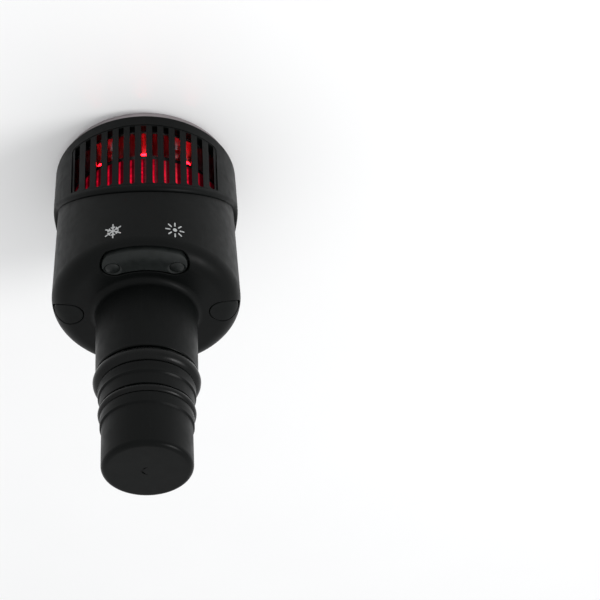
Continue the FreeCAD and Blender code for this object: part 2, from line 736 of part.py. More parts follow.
def lower_shell():
    low = seam_z_at_axis - TONGUE_H - 2
    shell = shell_outside(low).cut(seam_volume(0))
    tongue_outer_r = ring_bore_r - EASY_GAP
    tongue_band = tube(tongue_outer_r, tongue_outer_r - TONGUE_T, low, SEAM_FRONT_Z)
    tongue_band = tongue_band.cut(seam_volume(-TONGUE_H)).common(seam_volume(SHELL_WALL))
    shell = shell.cut(shell_inside(low)).fuse(tongue_band)
    for sign in (1, -1):
        x = sign * plug_x
        shell = shell.fuse(case_boss(x))
        shell = open_softly(shell, rod(PLUG_R + EASY_GAP, plug_seat_z, end_z, x))
        shell = shell.cut(rod(CASE_SCREW_HEAD_R + EASY_GAP, head_seat_z, plug_seat_z, x))
        shell = shell.cut(rod(CASE_SCREW_R + EASY_GAP, post_top_z, head_seat_z, x))
        shell = shell.cut(rod(POST_R + EASY_GAP, 0, post_top_z + EASY_GAP, x))
    for x, y in BOARD_POST_PLACES:
        post = tube(BOARD_POST_R, FAN_SCREW_R + SCREW_GAP, board_top_z, cavity_floor_z, x, y)
        shell = shell.fuse(post)
    shell = open_softly(shell, kidney(PAD_HALF_W, button_bottom_z - SWITCH_H, end_z))
    shell = shell.cut(charge_opening(EASY_GAP).extrude(V(0, 2 * shell_rim_r, 0)))
    mark = rod(GATE_MARK_R, end_z - GATE_MARK_DEPTH, end_z)
    mark = mark.cut(rod(GATE_MARK_R, end_z - GATE_MARK_DEPTH, end_z, -GATE_MARK_W))
    return shell.cut(mark).removeSplitter()


def screw_plug(x):
    """Cap over a case screw; its face follows the rounded rim of the shell."""
    column = rod(PLUG_R, plug_seat_z, FLOOR_Z + 1, x)
    plug = column.common(head_envelope(0, plug_seat_z - 1))
    rim = [edge for edge in edges_on(plug, column, plug_seat_z + 1) if lies_across(edge)]
    return plug.makeFillet(OPENING_ROUND, rim)


def case_screw(x):
    return machine_screw(x, 0, head_seat_z, CASE_SCREW_R, CASE_SCREW_LEN,
                         CASE_SCREW_HEAD_R, CASE_SCREW_HEAD_H)


def rubber_ring(middle_r, section_r, z):
    return Part.makeTorus(middle_r, section_r, V(0, 0, z), Z_AXIS)


# ---- buttons --------------------------------------------------------------------------------

def button_places():
    return {"cold": polar(button_mid_r, BUTTON_DEG), "heat": polar(button_mid_r, -BUTTON_DEG)}


def moat(x, y):
    """The dished ring around a button."""
    hole_r = BUTTON_R + BUTTON_GAP
    low_z = FLOOR_Z - 2 * MOAT_DEPTH
    return Part.makeCone(hole_r - MOAT_W, hole_r + 2 * MOAT_W, 3 * MOAT_DEPTH, V(x, y, low_z), Z_AXIS)


def button_pad():
    low = button_flange_top_z - BUTTON_FLANGE_T
    skin_inset = SHELL_WALL + SEAT_GAP
    outline = kidney(PAD_HALF_W - PANEL_GAP, low, end_z)
    face = outline.common(head_envelope(0, low - 1))
    rim = [edge for edge in edges_on(face, outline, cavity_floor_z) if lies_across(edge)]
    face = face.makeFillet(OPENING_ROUND, rim)
    skin = kidney(PAD_HALF_W + PAD_SKIN_W, low, end_z).common(head_envelope(skin_inset, low - 1))
    pad = face.fuse(skin).cut(head_envelope(skin_inset + PAD_SKIN_T, low - 1))
    for x, y in button_places().values():
        pad = pad.cut(rod(BUTTON_R + BUTTON_GAP, 0, end_z, x, y))
        pad = pad.cut(rod(BUTTON_FLANGE_R + EASY_GAP, 0, button_flange_top_z + 2 * EASY_GAP, x, y))
        pad = pad.cut(moat(x, y))
    return pad.removeSplitter()


def button(x, y):
    top_z = FLOOR_Z + BUTTON_RISE
    side_z = top_z - BUTTON_DOME_H
    low, flange_top = button_bottom_z, button_flange_top_z
    stem = rod(BUTTON_FLANGE_R, low, flange_top).fuse(rod(BUTTON_R, low, side_z))
    sphere_r = (BUTTON_R ** 2 + BUTTON_DOME_H ** 2) / (2 * BUTTON_DOME_H)
    dome = Part.makeSphere(sphere_r, V(0, 0, top_z - sphere_r)).common(rod(BUTTON_R, side_z, top_z + 1))
    whole = stem.fuse(dome).removeSplitter()
    whole.translate(V(x, y, 0))
    return whole


def switch_stem(x, y):
    return rod(SWITCH_STEM_R, switch_top_z - 2 * BUTTON_TRAVEL, button_bottom_z, x, y)


def tact_switches():
    bodies = []
    for x, y in button_places().values():
        body = block(SWITCH_SIDE, SWITCH_SIDE, board_top_z, switch_top_z)
        body.rotate(V(0, 0, 0), Z_AXIS, math.degrees(math.atan2(x, -y)))
        body.translate(V(x, y, 0))
        well = rod(SWITCH_STEM_R + BUTTON_GAP, switch_top_z - 4 * BUTTON_TRAVEL, switch_top_z, x, y)
        bodies.append(body.cut(well))
    return Part.makeCompound(bodies)


# ---- electronics and battery --------------------------------------------------------------------

def control_board():
    board = rod(board_r, board_z, board_top_z)
    notch_r = PLUG_R + EASY_GAP + CASE_BOSS_WALL + EASY_GAP
    for x in (plug_x, -plug_x):
        board = board.cut(rod(notch_r, board_z, board_top_z, x))
    for x, y in BOARD_POST_PLACES:
        board = board.cut(rod(FAN_SCREW_R + EASY_GAP, board_z, board_top_z, x, y))
    return board


def board_screws():
    length = BOARD_T + (cavity_floor_z - board_top_z) * 0.8
    return Part.makeCompound([
        machine_screw(x, y, board_z, FAN_SCREW_R, length, 2 * FAN_SCREW_R, BOARD_SCREW_HEAD_H, head_up=False)
        for x, y in BOARD_POST_PLACES])


def board_chips():
    return Part.makeCompound([
        block(size_x, size_y, board_z - height, board_z, x, y)
        for x, y, size_x, size_y, height in CHIPS])


def charge_socket():
    mouth_y = shell_radius(board_z) - SOCKET_INSET
    start_y = mouth_y - SOCKET_LEN
    body = charge_opening(0).extrude(V(0, SOCKET_LEN, 0))
    hollow = charge_opening(-SOCKET_WALL).extrude(V(0, SOCKET_LEN, 0))
    hollow.translate(V(0, SOCKET_BACK_T, 0))
    body = body.cut(hollow)
    width, length, height = SOCKET_TONGUE
    middle_z = board_z - SOCKET_H / 2
    corner = V(-width / 2, SOCKET_TONGUE_Y, middle_z - height / 2)
    tongue = Part.makeBox(width, length, height, corner)
    body = body.fuse(tongue)
    body.translate(V(0, start_y, 0))
    return body


def battery_cell():
    cap_z = cell_z + CELL_LEN
    can_z = cap_z - CELL_CAP_H
    return turned([(0, cell_z), (CELL_R, cell_z, CELL_ROUND), (CELL_R, can_z, CELL_ROUND),
                   (CELL_R / 3, can_z), (CELL_R / 3, cap_z), (0, cap_z)])


def battery_sleeve():
    return tube(sleeve_bore_r - SEAT_GAP, cell_bore_r, cavity_floor_z, cavity_floor_z + SLEEVE_LEN)


def battery_pad():
    return rod(BATTERY_PAD_R, board_top_z, cell_z)


# ---- printed icons ---------------------------------------------------------------------------------

def bar(length, width, centre, degrees):
    """A round-ended bar in the icon plane (across X, up Z), pushed through the wall along Y."""
    half = length / 2 - width / 2
    reach = shell_rim_r
    body = Part.makeBox(2 * half, reach, width, V(-half, -1.5 * reach, -width / 2))
    for end in (-half, half):
        body = body.fuse(Part.makeCylinder(width / 2, reach, V(end, -1.5 * reach, 0), V(0, 1, 0)))
    body = body.removeSplitter()
    body.rotate(V(0, 0, 0), V(0, 1, 0), degrees)
    body.translate(V(centre[0], 0, centre[1]))
    return body


def sun_bars():
    shapes = [Part.makeCylinder(SUN_DOT_R, shell_rim_r, V(0, -1.5 * shell_rim_r, 0), V(0, 1, 0))]
    for index in range(SUN_RAYS):
        degrees = index * 360 / SUN_RAYS
        angle = math.radians(degrees)
        centre = (SUN_RAY_MIDDLE_R * math.cos(angle), SUN_RAY_MIDDLE_R * math.sin(angle))
        shapes.append(bar(SUN_RAY_LEN, ICON_LINE_W, centre, -degrees))
    return shapes


def snowflake_bars():
    shapes = []
    for index in range(3):
        shapes.append(bar(2 * ICON_R, ICON_LINE_W, (0, 0), 30 + 60 * index))
    for index in range(6):
        angle = 30 + 60 * index
        for lean in (-1, 1):
            twig = angle + lean * FLAKE_TWIG_DEG
            half = FLAKE_TWIG_LEN / 2
            x = FLAKE_TWIG_R * math.cos(math.radians(angle)) + half * math.cos(math.radians(twig))
            z = FLAKE_TWIG_R * math.sin(math.radians(angle)) + half * math.sin(math.radians(twig))
            shapes.append(bar(FLAKE_TWIG_LEN + ICON_LINE_W, ICON_LINE_W, (x, z), -twig))
    return [shapes[0].multiFuse(shapes[1:])]


def printed_icon(shapes, degrees):
    """Ink that follows the shell's wall, centred at an angle from the front."""
    low_z = FLOOR_Z - ICON_DROP - 2 * ICON_R
    skin = head_envelope(-PRINT_T, low_z).cut(head_envelope(0, low_z - 1))
    pieces = []
    for shape in shapes:
        placed = shape.copy()
        placed.translate(V(0, 0, FLOOR_Z - ICON_DROP))
        placed = turned_about_z(placed, degrees)
        pieces.extend(placed.common(skin).Solids)
    return Part.makeCompound(pieces)


# ---- the pieces ---------------------------------------------------------------------------------------

cold_place = button_places()["cold"]
heat_place = button_places()["heat"]

PIECES = {
    "contact_plate": contact_plate,
    "plate_seal": plate_seal,
    "temperature_sensor": temperature_sensor,
    "peltier_cold_ceramic": lambda: ceramic(plate_back_z),
    "peltier_pellets": peltier_pellets,
    "peltier_hot_ceramic": lambda: ceramic(shelf_z - CERAMIC_T),
    "insulation_ring": insulation_ring,
    "heat_sink": heat_sink,
    "sink_screws": sink_screws,
    "led_board": led_board,
    "leds": leds,
    "light_guide_front": lambda: light_guide(-1),
    "light_guide_back": lambda: light_guide(1),
    "fan_frame": fan_frame,
    "fan_bearing": fan_bearing,
    "fan_rotor": fan_rotor,
    "fan_screws": fan_screws,
    "vent_ring": vent_ring,
    "vent_grille_front": lambda: vent_grille(-1),
    "vent_grille_back": lambda: vent_grille(1),
    "lower_shell": lower_shell,
    "screw_plugs": lambda: both_sides(screw_plug),
    "case_screws": lambda: both_sides(case_screw),
    "large_o_ring": lambda: rubber_ring(big_ring_mid_r, BIG_RING_SECTION_R, neck_end_z + big_groove_w / 2),
    "small_o_ring": lambda: rubber_ring(small_ring_mid_r, SMALL_RING_SECTION_R,
                                        small_groove_z + small_groove_w / 2),
    "button_pad": button_pad,
    "cold_button": lambda: button(*cold_place),
    "heat_button": lambda: button(*heat_place),
    "cold_switch_stem": lambda: switch_stem(*cold_place),
    "heat_switch_stem": lambda: switch_stem(*heat_place),
    "tact_switches": tact_switches,
    "control_board": control_board,
    "board_screws": board_screws,
    "board_chips": board_chips,
    "charge_socket": charge_socket,
    "battery_cell": battery_cell,
    "battery_sleeve": battery_sleeve,
    "battery_pad": battery_pad,
    "snowflake_icon": lambda: printed_icon(snowflake_bars(), ICON_DEG),
    "sun_icon": lambda: printed_icon(sun_bars(), -ICON_DEG),
}

for node, make in PIECES.items():
    save(make(), node)
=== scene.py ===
import json
import math

import bmesh
import bpy
from mathutils import Matrix, Quaternion, Vector


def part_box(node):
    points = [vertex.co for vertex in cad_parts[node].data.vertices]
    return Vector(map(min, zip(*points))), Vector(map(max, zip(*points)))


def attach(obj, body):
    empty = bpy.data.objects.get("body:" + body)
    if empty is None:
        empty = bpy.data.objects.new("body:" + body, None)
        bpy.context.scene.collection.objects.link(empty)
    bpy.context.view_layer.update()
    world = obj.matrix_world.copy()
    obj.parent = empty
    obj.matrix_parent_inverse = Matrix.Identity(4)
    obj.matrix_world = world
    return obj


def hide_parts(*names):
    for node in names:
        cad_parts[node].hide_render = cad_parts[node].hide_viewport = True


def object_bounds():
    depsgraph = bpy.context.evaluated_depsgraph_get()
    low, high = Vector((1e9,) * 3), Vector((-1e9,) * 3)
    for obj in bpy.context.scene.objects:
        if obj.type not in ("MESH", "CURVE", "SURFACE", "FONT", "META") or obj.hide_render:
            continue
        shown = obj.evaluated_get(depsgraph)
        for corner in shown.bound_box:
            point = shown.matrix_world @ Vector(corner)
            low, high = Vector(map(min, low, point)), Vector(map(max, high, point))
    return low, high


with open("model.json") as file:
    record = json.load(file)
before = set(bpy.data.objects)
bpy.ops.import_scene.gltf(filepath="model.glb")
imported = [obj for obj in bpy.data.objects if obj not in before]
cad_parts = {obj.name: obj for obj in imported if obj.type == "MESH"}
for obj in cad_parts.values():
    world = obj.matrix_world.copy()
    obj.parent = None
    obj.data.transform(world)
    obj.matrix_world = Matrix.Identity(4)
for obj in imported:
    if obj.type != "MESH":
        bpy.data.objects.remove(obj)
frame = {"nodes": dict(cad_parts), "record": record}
cad_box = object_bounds()

MM = 0.001

# The housing holds everything that doesn't move. Z runs from the contact plate, which
# stands on the floor, up to the end of the shank. The buttons are at the front, at -Y.
HOUSING = "housing"

# ---- view and light -------------------------------------------------------------------

CAMERA_AT = Vector((-0.00795, -0.32538, 0.31785))
CAMERA_AIM = Vector((-0.03516, -0.00213, 0.04374))
CAMERA_ROLL_DEG = 175.7
CAMERA_LENS = 111.0
CAMERA_SENSOR = 36.0
CAMERA_CLIP_START = 0.01

FLOOR_SIZE = 3.0
FLOOR_GREYS = (0.90, 0.93)
FLOOR_BLOTCH = 0.05
WORLD_GREY = (0.88, 0.885, 0.89)

# The key light is a disc: its direction from the head, its distance, width and watts.
KEY_FROM = Vector((-0.72, -0.28, 0.63))
KEY_DISTANCE = 0.55
KEY_SIZE = 0.22
KEY_POWER = 1.2

# ---- sizes of the repeated pieces, which the frame doesn't state ------------------------

SLOT_COUNT = 13
SLOT_PITCH = 2.61 * MM
SLOT_WIDTH = 1.2 * MM
SLOT_TOP = 6.0 * MM
SLOT_LAND = 2.65 * MM
PANEL_LAND = 2.45 * MM
PANEL_THICKNESS = 1.85 * MM
FLANGE_WIDTH = 0.85 * MM
FLANGE_DROP = 0.85 * MM
FLANGE_END_LAND = 1.6 * MM
FLANGE_THICKNESS = 0.75 * MM
SEAM_SLOPE = math.tan(math.radians(32.8))
SEAM_HEIGHT = 13.254 * MM

# The panel reaches this share of the flange's thickness into the flange.
FLANGE_OVERLAP = 0.9
# Radius of the round end of a slot, as a share of the slot's width.
SLOT_END_ROUND = 0.499
# The cutters of the slots start at this share of the face radius, outside the panel.
CUTTER_START = 1.1
CUTTER_LENGTH = 10 * MM

GUIDE_HALF_ANGLE_DEG = 81.8

PELLET_SIDE = 1.3 * MM
LAMP_WIDTH = 2.0 * MM
LAMP_DEPTH = 1.4 * MM
LAMP_LOWER_SHARE = 0.75

# The two bars of a screw's cross, as shares of the head's radius and height. They differ in
# depth, so that no two of their faces lie in one plane.
CROSS_LENGTH = 1.15
CROSS_WIDTH = 0.34
CROSS_DEPTHS = (1.0, 0.88)

# Piece, CAD node, head height, shank radius, and whether the head is below the seat.
SCREWS = (("sink_cap_screws", "sink_screws", 1.3 * MM, 1.0 * MM, False),
          ("fan_cap_screws", "fan_screws", 0.8 * MM, 0.8 * MM, False),
          ("case_cap_screws", "case_screws", 1.6 * MM, 1.0 * MM, False),
          ("board_cap_screws", "board_screws", 1.2 * MM, 0.8 * MM, True))

# Points of one mesh that are closer than this become one point.
WELD = 0.001 * MM
FINE_WELD = 0.0005 * MM

# The painted glow of the light guide sits off the middle of each slot by this share of the pitch.
GLOW_SHIFT = -0.16
LED_GLOW = 34.0


# ---- building node trees ----------------------------------------------------------------

SOCKET_KINDS = {int: "NodeSocketInt", float: "NodeSocketFloat"}


class Nodes:
    """Adds nodes to a tree. An input is given as another node's output or as a plain value."""

    def __init__(self, graph):
        self.graph = graph

    def put(self, socket, value):
        if isinstance(value, bpy.types.NodeSocket):
            self.graph.links.new(value, socket)
        else:
            socket.default_value = value

    def add(self, kind, inputs=None, **settings):
        node = self.graph.nodes.new(kind)
        for setting, value in settings.items():
            setattr(node, setting, value)
        for socket, value in (inputs or {}).items():
            self.put(node.inputs[socket], value)
        return node

    def math(self, operation, first, second=0.0):
        return self.add("ShaderNodeMath", {0: first, 1: second}, operation=operation).outputs[0]


class Tree(Nodes):
    """A geometry node tree with named inputs. It ends in Realize Instances and Set Material."""

    def __init__(self, name, **sizes):
        super().__init__(bpy.data.node_groups.new(name, "GeometryNodeTree"))
        interface = self.graph.interface
        interface.new_socket("Geometry", in_out="INPUT", socket_type="NodeSocketGeometry")
        for label, value in sizes.items():
            kind = SOCKET_KINDS[type(value)]
            socket = interface.new_socket(label.replace("_", " "), in_out="INPUT", socket_type=kind)
            socket.default_value = value
        interface.new_socket("Material", in_out="INPUT", socket_type="NodeSocketMaterial")
        interface.new_socket("Geometry", in_out="OUTPUT", socket_type="NodeSocketGeometry")
        self.inputs = self.add("NodeGroupInput").outputs

    def vector(self, x=0.0, y=0.0, z=0.0):
        return self.add("ShaderNodeCombineXYZ", {"X": x, "Y": y, "Z": z}).outputs[0]

    def position(self):
        """X, Y and Z of the point that is being worked on."""
        place = self.add("GeometryNodeInputPosition").outputs[0]
        return self.add("ShaderNodeSeparateXYZ", {0: place}).outputs

    def moved(self, geometry, offset):
        move = {"Geometry": geometry, "Translation": offset}
        return self.add("GeometryNodeTransform", move).outputs[0]

    def joined(self, *geometries):
        join = self.add("GeometryNodeJoinGeometry")
        for geometry in geometries:
            self.put(join.inputs[0], geometry)
        return join.outputs[0]

    def thickened(self, face, thickness):
        """A closed plate: the walls and far side of the face drawn out along Z, and its back."""
        walls = self.add("GeometryNodeExtrudeMesh",
                         {"Mesh": face, "Offset": self.vector(z=1.0), "Offset Scale": thickness,
                          "Individual": False}).outputs[0]
        back = self.add("GeometryNodeFlipFaces", {"Mesh": face}).outputs[0]
        plate = {"Geometry": self.joined(walls, back), "Distance": WELD}
        return self.add("GeometryNodeMergeByDistance", plate).outputs[0]

    def on_points(self, piece, turn):
        """Stands the piece on every point of the mesh that the tree is given."""
        stand = {"Points": self.inputs["Geometry"], "Instance": piece, "Rotation": turn}
        return self.add("GeometryNodeInstanceOnPoints", stand).outputs[0]

    def end(self, geometry):
        real = self.add("GeometryNodeRealizeInstances", {"Geometry": geometry}).outputs[0]
        paint = {"Geometry": real, "Material": self.inputs["Material"]}
        painted = self.add("GeometryNodeSetMaterial", paint).outputs[0]
        self.add("NodeGroupOutput", {"Geometry": painted})
        return self


def new_object(name, data=None):
    made = bpy.data.objects.new(name, data or bpy.data.meshes.new(name))
    bpy.context.scene.collection.objects.link(made)
    return made


def apply_modifiers(made, material):
    """Turns the object into the plain mesh that its modifiers make, of one material."""
    bpy.context.view_layer.update()
    view = bpy.context.evaluated_depsgraph_get()
    mesh = bpy.data.meshes.new_from_object(made.evaluated_get(view))
    made.modifiers.clear()
    made.data = mesh
    mesh.name = made.name
    mesh.materials.clear()
    mesh.materials.append(material)
    mesh.polygons.foreach_set("material_index", [0] * len(mesh.polygons))
    return made


def add_tree(made, tree, material, **sizes):
    modifier = made.modifiers.new(tree.graph.name, "NODES")
    modifier.node_group = tree.graph
    values = {label.replace("_", " "): value for label, value in sizes.items()}
    values["Material"] = material
    for item in tree.graph.interface.items_tree:
        if item.in_out == "INPUT" and item.name in values:
            modifier[item.identifier] = values[item.name]
    return made


def grown(name, tree, material, mesh=None, **sizes):
    """A piece made wholly by one tree."""
    return apply_modifiers(add_tree(new_object(name, mesh), tree, material, **sizes), material)


def smooth(made, degrees):
    """Smooth shading that keeps the edges sharper than the angle."""
    made.data.shade_smooth()
    made.data.set_sharp_from_angle(angle=math.radians(degrees))
    return made


def stand_for(made, node):
    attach(made, HOUSING)
    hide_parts(node)


# ---- building materials -----------------------------------------------------------------

def socket_name(label):
    """The shader's own name of a socket, such as Base Color from base_color."""
    return label.replace("_", " ").title().replace("Ior", "IOR")


class Finish(Nodes):
    """A procedural material: a Principled shader and the patterns that feed it."""

    def __init__(self, name, **sockets):
        self.material = bpy.data.materials.new(name)
        self.material.use_nodes = True
        super().__init__(self.material.node_tree)
        self.shader = self.graph.nodes["Principled BSDF"]
        for label, value in sockets.items():
            self.shader.inputs[socket_name(label)].default_value = value
        self.place = self.add("ShaderNodeTexCoord").outputs["Object"]

    def axes(self):
        """X, Y and Z of the place on the object."""
        return self.add("ShaderNodeSeparateXYZ", {0: self.place}).outputs

    def noise(self, size, detail=2.0, stretch=(1, 1, 1)):
        """Blotches about size metres across, stretched by three factors."""
        scale = tuple(1 / factor for factor in stretch)
        place = self.add("ShaderNodeMapping", {"Vector": self.place, "Scale": scale}).outputs[0]
        pattern = {"Vector": place, "Scale": 1 / size, "Detail": detail}
        return self.add("ShaderNodeTexNoise", pattern).outputs[0]

    def span(self, value, low, high, from_low=0.3, from_high=0.7):
        """Runs from low to high while the value runs between the two from_ ends."""
        ends = {"Value": value, "From Min": from_low, "From Max": from_high, "To Min": low, "To Max": high}
        return self.add("ShaderNodeMapRange", ends).outputs[0]

    def mix(self, share, first, second):
        node = self.add("ShaderNodeMix", data_type="RGBA")
        colours = [socket for socket in node.inputs if socket.type == "RGBA"]
        self.put(node.inputs[0], share)
        self.put(colours[0], first)
        self.put(colours[1], second)
        return [socket for socket in node.outputs if socket.type == "RGBA"][0]

    def feed(self, **sockets):
        for label, source in sockets.items():
            self.graph.links.new(source, self.shader.inputs[socket_name(label)])
        return self

    def bumps(self, *heights):
        """Bump nodes in a chain, from (pattern, depth in metres) pairs."""
        normal = None
        for pattern, depth in heights:
            inputs = {"Height": pattern, "Distance": depth, "Strength": 1.0}
            if normal is not None:
                inputs["Normal"] = normal
            normal = self.add("ShaderNodeBump", inputs).outputs[0]
        return self.feed(normal=normal)


COOL_BLACK = (0.88, 1.04, 1.0)
PLASTIC_SHEEN = 0.08
# Edges of the neck, the land, the collar and the shank that rub in the socket. They are
# fully worn within WEAR_CORE of each height, and not worn beyond WEAR_REACH.
WORN_EDGES = tuple(height * MM for height in (63.3, 67.4, 69.7, 73.3, 75.9, 88.3))
WEAR_CORE = 0.15 * MM
WEAR_REACH = 0.6 * MM


def opaque(colour):
    return tuple(colour) + (1.0,)


def grey(value):
    return opaque((value, value, value))


def black(value):
    return opaque(value * share for share in COOL_BLACK)


def moulded_plastic(name, shade, roughness, grain=0.35 * MM, worn_heights=()):
    """Dark moulded plastic with a spark-eroded grain, faint flow marks and rub marks.
    Edges at the worn heights are rubbed shiny."""
    finish = Finish(name, specular_ior_level=PLASTIC_SHEEN)
    flow = finish.noise(14 * MM, 3.0, (1, 1, 2.5))
    cloud = finish.noise(2.2 * MM, 4.0)
    fine = finish.noise(grain, 2.0)
    rubs = finish.noise(0.5 * MM, 3.0, (1, 1, 22))
    rub_share = finish.span(rubs, 0.0, 0.22, 0.62, 0.78)
    tone = finish.mix(finish.span(flow, 0.0, 1.0), black(shade * 0.82), black(shade * 1.18))
    tone = finish.mix(rub_share, tone, black(shade * 3.0))
    rough = finish.span(cloud, roughness - 0.05, roughness + 0.05)
    rough = finish.math("SUBTRACT", rough, finish.math("MULTIPLY", rub_share, 0.25))
    height = finish.axes()[2]
    for worn_height in worn_heights:
        distance = finish.math("ABSOLUTE", finish.math("SUBTRACT", height, worn_height))
        wear = finish.span(distance, 0.22, 0.0, WEAR_CORE, WEAR_REACH)
        wear = finish.math("MULTIPLY", wear, finish.span(cloud, 0.4, 1.0))
        rough = finish.math("SUBTRACT", rough, wear)
    finish.feed(base_color=tone, roughness=rough)
    return finish.bumps((fine, 0.004 * MM), (cloud, 0.010 * MM)).material


def soft_rubber(name, shade, roughness, level=0.25):
    """Silicone or nitrile with a silky skin, fine dust in it and slight unevenness."""
    finish = Finish(name, specular_ior_level=level)
    cloud = finish.noise(1.6 * MM, 4.0)
    fine = finish.noise(0.22 * MM, 2.0)
    dust = finish.span(finish.noise(0.4 * MM, 5.0), 0.0, 0.35, 0.66, 0.8)
    tone = finish.mix(finish.span(cloud, 0.0, 1.0), black(shade * 0.8), black(shade * 1.2))
    tone = finish.mix(dust, tone, grey(shade * 4.0))
    finish.feed(base_color=tone, roughness=finish.span(cloud, roughness - 0.06, roughness + 0.06))
    return finish.bumps((fine, 0.003 * MM), (cloud, 0.008 * MM)).material


def metal(name, colour, roughness, stretch=(1, 1, 1), size=0.3 * MM):
    """Bare metal whose fine marks run along the longer stretch factors."""
    finish = Finish(name, metallic=1.0)
    marks = finish.noise(size, 3.0, stretch)
    cloud = finish.noise(3 * MM, 3.0)
    dark = opaque(channel * 0.86 for channel in colour)
    tone = finish.mix(finish.span(cloud, 0.0, 1.0), dark, opaque(colour))
    finish.feed(base_color=tone, roughness=finish.span(marks, roughness - 0.08, roughness + 0.1))
    return finish.bumps((marks, 0.003 * MM)).material


def turned_metal(name, colour, roughness):
    """Metal with fine rings from the lathe about Z."""
    finish = Finish(name, metallic=1.0, anisotropic=0.35)
    x, y, z = finish.axes()
    squares = finish.math("ADD", finish.math("MULTIPLY", x, x), finish.math("MULTIPLY", y, y))
    radius = finish.math("SQRT", squares)
    rings = finish.add("ShaderNodeCombineXYZ", {"X": radius, "Y": z, "Z": 0.0}).outputs[0]
    pattern = {"Vector": rings, "Scale": 1 / (0.09 * MM), "Detail": 3.0}
    marks = finish.add("ShaderNodeTexNoise", pattern).outputs[0]
    cloud = finish.noise(5 * MM, 3.0)
    dark = opaque(channel * 0.88 for channel in colour)
    tone = finish.mix(finish.span(cloud, 0.0, 1.0), dark, opaque(colour))
    finish.feed(base_color=tone, roughness=finish.span(marks, roughness - 0.07, roughness + 0.07))
    return finish.bumps((marks, 0.002 * MM)).material


def speckled(name, first, second, roughness, size=0.5 * MM, depth=0.004 * MM):
    """Opaque material of two close colours: foam, ceramic, solder mask, ink or wrap."""
    finish = Finish(name, specular_ior_level=0.4)
    cloud = finish.noise(size, 4.0)
    fine = finish.noise(size / 3, 2.0)
    finish.feed(base_color=finish.mix(finish.span(cloud, 0.0, 1.0), opaque(first), opaque(second)))
    finish.feed(roughness=finish.span(fine, roughness - 0.06, roughness + 0.06))
    return finish.bumps((fine, depth)).material


def guide_with_painted_light(name):
    """Clear acrylic with a painted red glow in place of light from the lamps inside: each flute
    has a painted streak of light along one flank. The painted glow is weaker towards the sides
    and the plate, and it is mottled and has small painted glints."""
    finish = Finish(name, base_color=(0.05, 0.001, 0.002, 1.0), specular_ior_level=0.12,
                    emission_strength=1.0, coat_weight=0.08, coat_roughness=0.1)
    x, y, z = finish.axes()
    # Painted streak of light along one flank of each flute, off the middle of the slot.
    turns = finish.math("ADD", finish.math("DIVIDE", x, SLOT_PITCH), 0.5 + GLOW_SHIFT)
    off_flank = finish.math("ABSOLUTE", finish.math("SUBTRACT", finish.math("FRACT", turns), 0.5))
    painted_streak = finish.span(off_flank, 1.0, 0.0, 0.02, 0.13)
    # The painted light fades towards the sides and towards the plate.
    side = finish.span(finish.math("ABSOLUTE", x), 1.0, 0.12, 8 * MM, 16 * MM)
    rise = finish.span(z, 0.35, 1.0, 13 * MM, 22 * MM)
    # Painted mottling and small painted glints in the glow.
    mottle = finish.span(finish.noise(1.3 * MM, 3.0), 0.45, 1.25)
    painted_glints = finish.span(finish.noise(0.9 * MM, 1.0), 0.0, 1.1, 0.60, 0.70)
    reach = finish.math("MULTIPLY", side, rise)
    painted_light_share = finish.math("MULTIPLY", reach, finish.math("ADD", mottle, painted_glints))
    colour = finish.mix(painted_streak, (0.07, 0.0, 0.004, 1.0), (0.95, 0.006, 0.035, 1.0))
    lit = finish.mix(painted_light_share, (0.012, 0.0, 0.001, 1.0), colour)
    finish.feed(emission_color=lit, roughness=finish.span(finish.noise(0.6 * MM), 0.12, 0.3))
    return finish.bumps((finish.noise(0.8 * MM), 0.02 * MM)).material


def lit_chip(name):
    """A small red lamp whose face is slightly uneven."""
    finish = Finish(name, base_color=(0.6, 0.05, 0.05, 1.0), roughness=0.3,
                    emission_strength=LED_GLOW)
    spots = finish.span(finish.noise(0.5 * MM, 1.0), 0.6, 1.0)
    finish.feed(emission_color=finish.mix(spots, (1.0, 0.001, 0.004, 1.0), (1.0, 0.003, 0.008, 1.0)))
    return finish.bumps((finish.noise(0.2 * MM), 0.004 * MM)).material


